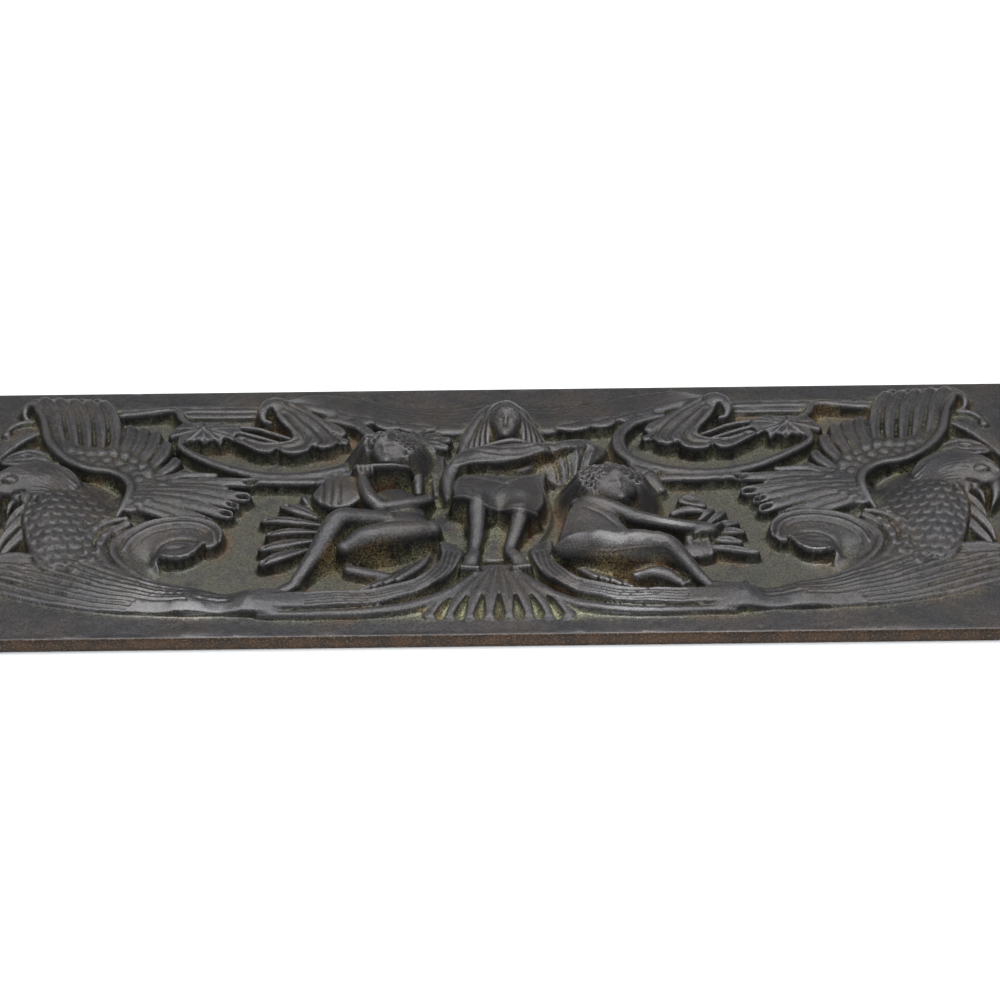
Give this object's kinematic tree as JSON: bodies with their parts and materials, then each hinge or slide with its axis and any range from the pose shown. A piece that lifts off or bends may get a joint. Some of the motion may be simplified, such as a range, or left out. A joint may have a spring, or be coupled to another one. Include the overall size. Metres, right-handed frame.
{
  "type": "relief plaque",
  "caption": "Long rectangular wall plaque cast in bronze, with a seated robed figure between two children, leafy scrolls and a griffin at each end in relief.",
  "frame": {"origin": "middle of the flat back, where the plaque meets the wall", "axes": "+X along the length, +Y towards the upper edge as it hangs, +Z out of the face"},
  "size_m": [0.56, 0.2, 0.026],
  "materials": {
    "bronze": "cast bronze with a near-black waxed patina, pale olive dust in the hollows and warm brown wear on a few high places"
  },
  "bodies": {
    "root": {"relief_plaque": "bronze"}
  },
  "joints": []
}
